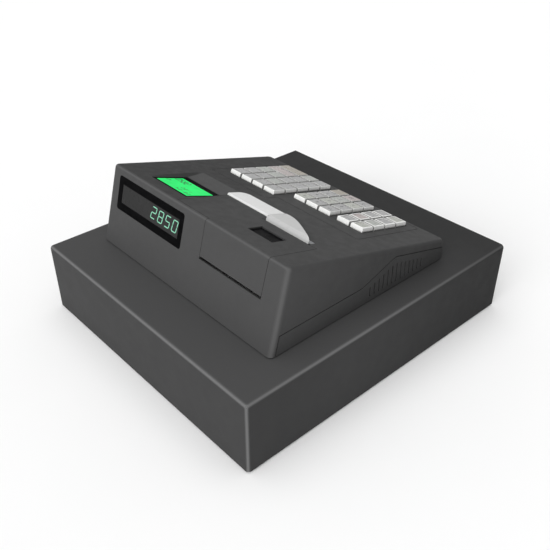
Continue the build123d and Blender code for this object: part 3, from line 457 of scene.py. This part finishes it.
def circuit_board():
    """Green lacquer over copper tracks."""
    material = new_material("circuit_board", (0.02, 0.11, 0.045), 0.32, coat=0.4)
    tree = material.node_tree
    place = tree.nodes.new("ShaderNodeTexCoord")
    bricks = tree.nodes.new("ShaderNodeTexBrick")
    bricks.inputs["Scale"].default_value = 220.0
    bricks.inputs["Color1"].default_value = (0.018, 0.1, 0.04, 1)
    bricks.inputs["Color2"].default_value = (0.03, 0.15, 0.06, 1)
    bricks.inputs["Mortar"].default_value = (0.05, 0.2, 0.08, 1)
    tree.links.new(place.outputs["Object"], bricks.inputs["Vector"])
    tree.links.new(bricks.outputs["Color"], shader_of(material).inputs["Base Color"])
    grain(material, 1.0, 0.02)
    return material


def display_filter():
    """Deep black filter around the displays."""
    material = new_material("display_filter", (0.0035, 0.0035, 0.0038), 0.4, specular=0.005)
    mottle(material, (0.0035, 0.0035, 0.0038), 0.3, 9.0)
    uneven_gloss(material, 0.34, 0.46, 7.0)
    return material


def smoked_and_shade_pane(name, colour, spread):
    """Dark glass with a faint cloud of dust: smoked glass in the customer's display, and painted shade as
    the near-black pane in the printer's window.
    """
    material = new_material(name, colour, 0.3, specular=0.02)
    mottle(material, colour, spread, 16.0)
    uneven_gloss(material, 0.24, 0.38, 5.0)
    return material


def lit_segment(colour):
    """Lit display segment."""
    material = new_material("lit_segment", shade(colour, 0.3), 0.4, specular=0.1)
    mottle(material, shade(colour, 0.3), 0.2, 2.0)
    glow(material, colour, 0.9)
    return material


def backlit_glass(colour):
    """Green backlit glass, a little cloudy."""
    material = new_material("backlit_glass", shade(colour, 0.1), 0.2, specular=0.02)
    tree = material.node_tree
    cloud = add_noise(material, 22.0, 2.0)
    colours = ramp(material, cloud, [(0.3, shade(colour, 0.9)), (0.7, shade(colour, 1.06))])
    tree.links.new(colours, shader_of(material).inputs["Emission Color"])
    shader_of(material).inputs["Emission Strength"].default_value = 1.0
    uneven_gloss(material, 0.16, 0.26, 6.0)
    return material


def dark_segment():
    """Dark liquid-crystal segment on the green glass."""
    material = new_material("dark_segment", (0.004, 0.045, 0.012), 0.3, specular=0.1)
    mottle(material, (0.004, 0.05, 0.014), 0.2, 1.0)
    return material


def till_paper(name, colour):
    """Thin white till paper with a soft fibre."""
    material = new_material(name, colour, 0.72, specular=0.25)
    mottle(material, colour, 0.025, 3.5, 6.0, (1, 0.35, 0.35))
    uneven_gloss(material, 0.66, 0.8, 4.0)
    grain(material, 0.35, 0.01, 4.0)
    return material


def strip_paper(colour, edge_x):
    """Till paper with painted shade: greyer on the strip that lies beyond edge_x in mm, most where it
    bends up.
    """
    material = till_paper("strip_paper", colour)
    # painted shade: the strip beyond edge_x greyer, darker still where its bend faces the rear
    beyond = step_between(material, place_on(material)[0], (edge_x + 1) * MM, (edge_x - 1) * MM)
    mix_in(material, beyond, (0.76, 0.76, 0.76), "MULTIPLY")
    dim_where(material, beyond, step_between(material, facing(material, DECK_ANGLE)[1], 0.1, 0.6), 0.84)
    return material


def key_cap(colour):
    """Glossy white key plastic, with painted shade on the flanks that face -X and in the gaps where a
    neighbour stands close.
    """
    material = new_material("key_cap", colour, 0.28, specular=0.12)
    mottle(material, colour, 0.015, 8.0)
    sideways, _, upward = facing(material, DECK_ANGLE)
    flank = step_between(material, sideways, -0.12, -0.4)
    top_edge = step_between(material, upward, 0.3, 0.6)
    # painted shade: -X flanks darker, and darker again where neighbours stand close
    mix_in(material, flank, (0.8, 0.8, 0.8), "MULTIPLY")
    painted_gap_shade(material, (0.28, 0.28, 0.27), 16.0, 0.3, 0.55, flank)
    painted_gap_shade(material, (0.4, 0.4, 0.39), 8.0, 0.86, 0.96, top_edge)
    painted_gap_shade(material, (0.2, 0.2, 0.195), 8.0, 0.48, 0.58)
    painted_gap_shade(material, (0.02, 0.02, 0.019), 2.2, 0.6, 0.97, flank)
    uneven_gloss(material, 0.22, 0.36, 4.0)
    grain(material, 0.8, 0.008)
    return material


def label_card(name, colour):
    """Printed label card under the clear cap."""
    material = new_material(name, colour, 0.3, specular=0.45, coat=0.35)
    mottle(material, colour, 0.1, 3.2, 5.0)
    uneven_gloss(material, 0.24, 0.4, 3.0)
    grain(material, 0.6, 0.006)
    return material


def label_ink():
    """Dark print on the label cards."""
    material = new_material("label_ink", (0.03, 0.03, 0.035), 0.35)
    mottle(material, (0.03, 0.03, 0.035), 0.2, 0.8)
    return material


def floor_paper():
    """Seamless white studio paper."""
    material = new_material("floor_paper", (0.9, 0.9, 0.9), 0.9, specular=0.1)
    mottle(material, (0.9, 0.9, 0.9), 0.006, 180.0)
    grain(material, 1.5, 0.02)
    return material


def dress(nodes, material):
    """Gives CAD nodes a material."""
    for name in nodes:
        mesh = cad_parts[name].data
        mesh.materials.clear()
        mesh.materials.append(material)


# ---------------------------------------------------------------- mesh helpers
def new_piece(name, mesh_data, body, material):
    """Object from a bmesh that rides on a body and takes its finish from a slot."""
    mesh = bpy.data.meshes.new(name)
    bmesh.ops.recalc_face_normals(mesh_data, faces=mesh_data.faces)
    mesh_data.to_mesh(mesh)
    mesh_data.free()
    mesh.materials.append(material)
    piece = bpy.data.objects.new(name, mesh)
    bpy.context.scene.collection.objects.link(piece)
    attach(piece, body)
    return piece


def add_prism(mesh_data, outline, place, low, high):
    """Prism over an outline of (x, down) points, set on a surface by its place function."""
    bottom = [mesh_data.verts.new(place(x, down, low)) for x, down in outline]
    top = [mesh_data.verts.new(place(x, down, high)) for x, down in outline]
    count = len(outline)
    mesh_data.faces.new(bottom)
    mesh_data.faces.new(top)
    for index in range(count):
        follower = (index + 1) % count
        mesh_data.faces.new((bottom[index], bottom[follower], top[follower], top[index]))


def rounded_outline(left, right, near, far, radius, steps=5):
    """Rectangle outline with round corners."""
    corners = [(left, near, 180), (right, near, 270), (right, far, 0), (left, far, 90)]
    points = []
    for x, down, start in corners:
        centre_x = x + radius if x == left else x - radius
        centre_down = down + radius if down == near else down - radius
        for step in range(steps + 1):
            angle = math.radians(start + 90 * step / steps)
            points.append((centre_x + radius * math.cos(angle), centre_down + radius * math.sin(angle)))
    return points


def inset_bounds(bounds, inset):
    """Left, right, rear and front edges moved inwards."""
    left, right, near, far = bounds
    return left + inset, right - inset, near + inset, far - inset


def add_plate(mesh_data, place, bounds, radius, low, high, bevel):
    """Rounded plate whose upper edge is bevelled."""
    lower = rounded_outline(*bounds, radius)
    upper = rounded_outline(*inset_bounds(bounds, bevel), max(radius - bevel, bevel))
    rings = [
        [mesh_data.verts.new(place(x, down, low)) for x, down in lower],
        [mesh_data.verts.new(place(x, down, high - bevel)) for x, down in lower],
        [mesh_data.verts.new(place(x, down, high)) for x, down in upper],
    ]
    count = len(lower)
    mesh_data.faces.new(rings[0])
    mesh_data.faces.new(rings[2])
    for ring, following in zip(rings, rings[1:]):
        for index in range(count):
            follower = (index + 1) % count
            mesh_data.faces.new((ring[index], ring[follower], following[follower], following[index]))


# segments of a digit: a on top, then clockwise to f, and g across the middle
LIT_SEGMENTS = {
    "0": "abcdef", "1": "bc", "2": "abged", "3": "abgcd", "4": "fgbc",
    "5": "afgcd", "6": "afgedc", "7": "abc", "8": "abcdefg", "9": "abcdfg", "-": "g", " ": "",
}


def segment_outlines(width, height, stroke, gap):
    """Six-sided outlines of the seven segments, with the digit's lower left corner at the origin."""
    half = stroke / 2
    middle = height / 2

    def lying(y):
        left, right = half + gap, width - half - gap
        return [(left, y), (left + half, y + half), (right - half, y + half),
                (right, y), (right - half, y - half), (left + half, y - half)]

    def standing(x, low, high):
        low, high = low + gap, high - gap
        return [(x, low), (x + half, low + half), (x + half, high - half),
                (x, high), (x - half, high - half), (x - half, low + half)]

    return {
        "a": lying(height - half), "g": lying(middle), "d": lying(half),
        "f": standing(half, middle, height - half), "b": standing(width - half, middle, height - half),
        "e": standing(half, half, middle), "c": standing(width - half, half, middle),
    }


def add_digit(mesh_data, letters, place, corner, size, stroke, slant, reading, low, high):
    """Lit segments of one digit. Reading is the pair of signs for rightwards and upwards in place."""
    width, height = size
    outlines = segment_outlines(width, height, stroke, stroke * 0.14)
    for letter in letters:
        points = []
        for u, up in outlines[letter]:
            along = u + slant * (up - height / 2)
            points.append((corner[0] + reading[0] * along, corner[1] + reading[1] * up))
        add_prism(mesh_data, points, place, low, high)


# ---------------------------------------------------------------- operators
class REGISTER_OT_cabinet(bpy.types.Operator):
    """Powder-coat the cash drawer's cabinet and give it rubber feet"""

    bl_idname = "register.cabinet"
    bl_label = "Finish Cabinet"

    def execute(self, context):
        colours = context.scene.register_colours
        dress(["drawer_housing"], powder_coat(colours.cabinet))
        dress(["rubber_feet"], black_rubber())
        return {"FINISHED"}


class REGISTER_OT_drawer(bpy.types.Operator):
    """Finish the drawer, its lock, its till insert and its latch"""

    bl_idname = "register.drawer"
    bl_label = "Finish Drawer"

    def execute(self, context):
        colours = context.scene.register_colours
        dress(["drawer_front"], drawer_panel(colours.cabinet))
        dress(["drawer_tray", "latch_striker"], zinc_plate())
        dress(["drawer_lock"], plated_lock())
        dress(["till_insert"], till_plastic())
        dress([f"note_clip_{number}" for number in (1, 2, 3)], clip_plastic())
        dress(["latch_hook"], brushed_steel("hook_steel", (0.42, 0.42, 0.43)))
        dress(["latch_solenoid"], lacquered_can())
        return {"FINISHED"}


class REGISTER_OT_case(bpy.types.Operator):
    """Give the register's case, keyboard panel and printer cover their moulded grain"""

    bl_idname = "register.case"
    bl_label = "Finish Case"

    def execute(self, context):
        colours = context.scene.register_colours
        dress(["lower_case", "upper_case", "keyboard_bezel", "printer_cover"], moulded_case(colours.case))
        dress(["main_board"], circuit_board())
        return {"FINISHED"}


class REGISTER_OT_customer_display(bpy.types.Operator):
    """Set the smoked pane and the digits in the customer's display"""

    bl_idname = "register.customer_display"
    bl_label = "Build Customer Display"

    window = (14.0, 116.2, 16.2, 37.2)
    recess = -0.8
    pane_top = -0.55
    pane_gap = 0.1
    pane_corner = 0.6
    pane_bevel = 0.08
    first_digit_x = 24.6
    digit_base = 32.7
    stroke = 1.0
    rise = 0.08

    def execute(self, context):
        colours = context.scene.register_colours
        display = context.scene.register_display
        pane = bmesh.new()
        bounds = inset_bounds(self.window, self.pane_gap)
        add_plate(pane, wall_place, bounds, self.pane_corner, self.recess, self.pane_top, self.pane_bevel)
        pane_finish = smoked_and_shade_pane("customer_pane", (0.03, 0.03, 0.03), 0.06)
        new_piece("customer_pane", pane, "register", pane_finish)

        size = (display.digit_width, display.digit_height)
        digits = bmesh.new()
        for position, character in enumerate(reversed(display.amount)):
            # digits read from the rear, so rightwards is towards -X, counted here from the right
            corner = (self.first_digit_x + position * display.digit_pitch, self.digit_base)
            shape = (wall_place, corner, size, self.stroke, display.slant, (-1, -1))
            add_digit(digits, LIT_SEGMENTS[character], *shape, self.pane_top, self.pane_top + self.rise)
        new_piece("customer_digits", digits, "register", lit_segment(colours.segments))
        return {"FINISHED"}


class REGISTER_OT_operator_display(bpy.types.Operator):
    """Set the green glass and its dark digits in the operator's display"""

    bl_idname = "register.operator_display"
    bl_label = "Build Operator Display"

    glass = (35.2, 88.0, 5.0, 40.0)
    plate_top = -0.3
    glass_top = -0.12
    glass_corner = 0.5
    glass_bevel = 0.06
    # base line, digit height and width, pitch, first x and the digits of each line
    lines = (
        (12.2, 4.6, 3.3, 4.7, 37.0, "28-04"),
        (19.4, 4.6, 3.3, 4.7, 41.7, "1130"),
        (20.8, 4.6, 3.0, 4.2, 79.4, "12"),
        (36.5, 9.5, 4.2, 5.2, 66.8, "2850"),
    )
    slant = 0.12
    stroke_share = 0.3
    rise = 0.03

    def execute(self, context):
        colours = context.scene.register_colours
        dress(["display_modules"], display_filter())
        pane = bmesh.new()
        plate = (self.glass_corner, self.plate_top, self.glass_top, self.glass_bevel)
        add_plate(pane, scoop_place, self.glass, *plate)
        new_piece("operator_glass", pane, "register", backlit_glass(colours.glass))
        digits = bmesh.new()
        levels = (self.glass_top, self.glass_top + self.rise)
        for base, height, width, pitch, start, text in self.lines:
            # digits read from the operator's side, so rightwards is towards +X
            stroke = width * self.stroke_share
            x = start
            for character in text:
                shape = (scoop_place, (x, base), (width, height), stroke, self.slant, (1, -1))
                add_digit(digits, LIT_SEGMENTS[character], *shape, *levels)
                x += pitch
        new_piece("operator_digits", digits, "register", dark_segment())
        return {"FINISHED"}


class REGISTER_OT_printer(bpy.types.Operator):
    """Finish the printer and set a near-black pane, as painted shade, in the window of its cover"""

    bl_idname = "register.printer"
    bl_label = "Finish Printer"

    window = (-88.5, -54.0, 26.5, 45.3)
    recess = -2.0
    pane_top = -1.7
    pane_gap = 0.15
    pane_corner = 0.5
    pane_bevel = 0.1
    greyer_beyond = -37.5

    def execute(self, context):
        colours = context.scene.register_colours
        dress(["printer_frame"], brushed_steel("printer_steel", (0.34, 0.35, 0.36)))
        dress(["platen_roller"], black_rubber())
        dress(["paper_rolls"], till_paper("roll_paper", colours.paper))
        dress(["paper_strips"], strip_paper(colours.paper, self.greyer_beyond))
        pane = bmesh.new()
        bounds = inset_bounds(self.window, self.pane_gap)
        add_plate(pane, deck_place, bounds, self.pane_corner, self.recess, self.pane_top, self.pane_bevel)
        # painted shade: a near-black pane in the shallow window recess
        pane_finish = smoked_and_shade_pane("printer_shade_pane", (0.004, 0.004, 0.0045), 0.4)
        new_piece("printer_shade_pane", pane, "cover", pane_finish)
        return {"FINISHED"}


class REGISTER_OT_keys(bpy.types.Operator):
    """Finish the key caps and lay a label card on each"""

    bl_idname = "register.keys"
    bl_label = "Finish Keys"

    card_inset = 0.1
    card_rise = 0.12
    card_corner = 0.8
    card_bevel = 0.05
    well_depth = 0.35
    well_inset = 1.25
    tints = {
        "cool": (0.34, 0.34, 0.34),
        "warm": (0.40, 0.41, 0.37),
        "green": (0.37, 0.385, 0.36),
        "rose": (0.40, 0.35, 0.34),
        "sand": (0.32, 0.29, 0.24),
    }
    tinted = {
        "key_subtotal": "rose",
        "key_department_4": "rose",
        "key_double_zero": "rose",
        "key_total": "sand",
        "key_point": "sand",
    }
    number_height = 6.4

    def execute(self, context):
        colours = context.scene.register_colours
        names = sorted(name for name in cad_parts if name.startswith("key_"))
        dress(names, key_cap(colours.key))
        cards = {tint: label_card(f"label_{tint}", colour) for tint, colour in self.tints.items()}
        ink = label_ink()
        order = random.Random(7)
        for name in names:
            usual = order.choice(["cool", "cool", "warm", "green"])
            self.label(name, cards[self.tinted.get(name, usual)], ink)
        return {"FINISHED"}

    def label(self, name, card_material, ink):
        """Label card on the key's top face, with a number on the number keys."""
        *bounds, top = top_face(name)
        body = name.replace("key_", "button_")
        inset = self.card_inset
        if name.startswith("key_department"):
            top -= self.well_depth
            inset = self.well_inset
        card = bmesh.new()
        card_top = top + self.card_rise
        add_plate(
            card, deck_place, inset_bounds(bounds, inset), self.card_corner, top, card_top, self.card_bevel
        )
        new_piece(name.replace("key_", "label_"), card, body, card_material)
        text = key_text(name)
        if text:
            left, right, near, far = bounds
            middle = deck_place((left + right) / 2, (near + far) / 2, card_top)
            print_number(name.replace("key_", "print_"), text, body, middle, self.number_height, ink)


def key_text(name):
    """What is printed on a key: its number on the number keys, nothing on the others."""
    marks = {"key_double_zero": "00", "key_point": "."}
    if name.startswith("key_number"):
        return name[-1]
    return marks.get(name, "")


def top_face(name):
    """Left, right, rear and front edges of a key's top face in mm, and its height."""
    points = [on_deck(vertex.co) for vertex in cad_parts[name].data.vertices]
    top = max(height for _, _, height in points)
    rim = [(x, down) for x, down, height in points if height > top - 0.01]
    xs, downs = [x for x, _ in rim], [down for _, down in rim]
    return min(xs), max(xs), min(downs), max(downs), top


def print_number(name, text, body, middle, size, ink):
    """Plain number printed on a key, upright for the operator."""
    curve = bpy.data.curves.new(name, "FONT")
    curve.body = text
    curve.size = size * MM
    curve.align_x, curve.align_y = "CENTER", "CENTER"
    curve.extrude = 0.01 * MM
    source = bpy.data.objects.new(name, curve)
    bpy.context.scene.collection.objects.link(source)
    bpy.context.view_layer.update()
    mesh = bpy.data.meshes.new_from_object(source)
    bpy.data.objects.remove(source)
    turn = Matrix((ACROSS, UP_SLOPE, DECK_NORMAL)).transposed().to_4x4()
    mesh.transform(Matrix.Translation(middle) @ turn)
    mesh.materials.clear()
    mesh.materials.append(ink)
    piece = bpy.data.objects.new(name, mesh)
    bpy.context.scene.collection.objects.link(piece)
    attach(piece, body)


class REGISTER_OT_stage(bpy.types.Operator):
    """Set the floor, the light and the camera"""

    bl_idname = "register.stage"
    bl_label = "Set Stage"

    camera_place = (-502.08, 454.40, 506.82)
    camera_azimuth = 227.979
    camera_elevation = 34.420
    camera_roll = -0.075
    rear_direction = (-0.6, 2.4, 1.2)
    rear_spread = 50
    top_direction = (0.1, 0.3, 2.6)
    top_spread = 70

    def execute(self, context):
        stage = context.scene.register_stage
        self.floor(stage.floor_size)
        self.light(stage)
        self.camera(stage.focal)
        context.scene.view_settings.view_transform = "Standard"
        return {"FINISHED"}

    def floor(self, size):
        """Round sheet of white studio paper."""
        sheet = bmesh.new()
        bmesh.ops.create_circle(sheet, cap_ends=True, segments=96, radius=size / 2)
        mesh = bpy.data.meshes.new("studio_floor")
        sheet.to_mesh(mesh)
        sheet.free()
        mesh.materials.append(floor_paper())
        floor = bpy.data.objects.new("studio_floor", mesh)
        bpy.context.scene.collection.objects.link(floor)

    def light(self, stage):
        """White surroundings, a broad soft light behind the register and one above."""
        world = bpy.data.worlds.new("studio_surroundings")
        world.use_nodes = True
        background = world.node_tree.nodes["Background"]
        background.inputs["Color"].default_value = (1, 1, 1, 1)
        background.inputs["Strength"].default_value = stage.daylight
        bpy.context.scene.world = world
        self.lamp("rear_light", self.rear_direction, self.rear_spread, stage.rear_light)
        self.lamp("top_light", self.top_direction, self.top_spread, stage.top_light)

    def lamp(self, name, direction, spread, strength):
        """Distant light from a direction, as soft as its spread in degrees."""
        data = bpy.data.lights.new(name, "SUN")
        data.angle = math.radians(spread)
        data.energy = strength
        lamp = bpy.data.objects.new(name, data)
        lamp.location = direction
        lamp.rotation_mode = "QUATERNION"
        lamp.rotation_quaternion = (-Vector(direction)).to_track_quat("-Z", "Y")
        bpy.context.scene.collection.objects.link(lamp)

    def camera(self, focal):
        """Camera above the customer's side, looking down at the left rear corner."""
        data = bpy.data.cameras.new("studio_camera")
        data.sensor_width = 36.0
        data.lens = focal * data.sensor_width
        data.clip_start, data.clip_end = 0.01, 50.0
        camera = bpy.data.objects.new("studio_camera", data)
        camera.location = Vector(self.camera_place) * MM
        azimuth, elevation = math.radians(self.camera_azimuth), math.radians(self.camera_elevation)
        back = Vector(
            (
                math.sin(azimuth) * math.cos(elevation),
                -math.cos(azimuth) * math.cos(elevation),
                math.sin(elevation),
            )
        )
        look = (-back).to_track_quat("-Z", "Y")
        roll = Euler((0, 0, math.radians(self.camera_roll))).to_quaternion()
        camera.rotation_mode = "QUATERNION"
        camera.rotation_quaternion = look @ roll
        bpy.context.scene.collection.objects.link(camera)
        bpy.context.scene.camera = camera


class REGISTER_PT_panel(bpy.types.Panel):
    """Shows the register's settings and operator buttons in the sidebar"""

    bl_idname = "REGISTER_PT_panel"
    bl_label = "Ticket Register"
    bl_space_type = "VIEW_3D"
    bl_region_type = "UI"
    bl_category = "Register"

    def draw(self, context):
        scene = context.scene
        for settings in (scene.register_colours, scene.register_display, scene.register_stage):
            box = self.layout.box()
            for setting in settings.bl_rna.properties:
                if setting.identifier not in {"rna_type", "name"}:
                    box.prop(settings, setting.identifier)
        for operator in OPERATORS:
            self.layout.operator(operator.bl_idname)


SETTINGS = {
    "register_colours": RegisterColours,
    "register_display": RegisterDisplay,
    "register_stage": RegisterStage,
}
OPERATORS = (
    REGISTER_OT_stage,
    REGISTER_OT_cabinet,
    REGISTER_OT_drawer,
    REGISTER_OT_case,
    REGISTER_OT_customer_display,
    REGISTER_OT_operator_display,
    REGISTER_OT_printer,
    REGISTER_OT_keys,
)


def register():
    """Registers the settings, the operators and the panel."""
    for group in SETTINGS.values():
        bpy.utils.register_class(group)
    for name, group in SETTINGS.items():
        setattr(bpy.types.Scene, name, PointerProperty(type=group))
    for operator in OPERATORS:
        bpy.utils.register_class(operator)
    bpy.utils.register_class(REGISTER_PT_panel)


def unregister():
    """Takes everything off again in the opposite order."""
    bpy.utils.unregister_class(REGISTER_PT_panel)
    for operator in reversed(OPERATORS):
        bpy.utils.unregister_class(operator)
    for name in SETTINGS:
        delattr(bpy.types.Scene, name)
    for group in reversed(SETTINGS.values()):
        bpy.utils.unregister_class(group)


def main():
    """Runs every operator in order."""
    register()
    bpy.ops.register.stage()
    bpy.ops.register.cabinet()
    bpy.ops.register.drawer()
    bpy.ops.register.case()
    bpy.ops.register.customer_display()
    bpy.ops.register.operator_display()
    bpy.ops.register.printer()
    bpy.ops.register.keys()


if __name__ == "__main__":
    main()
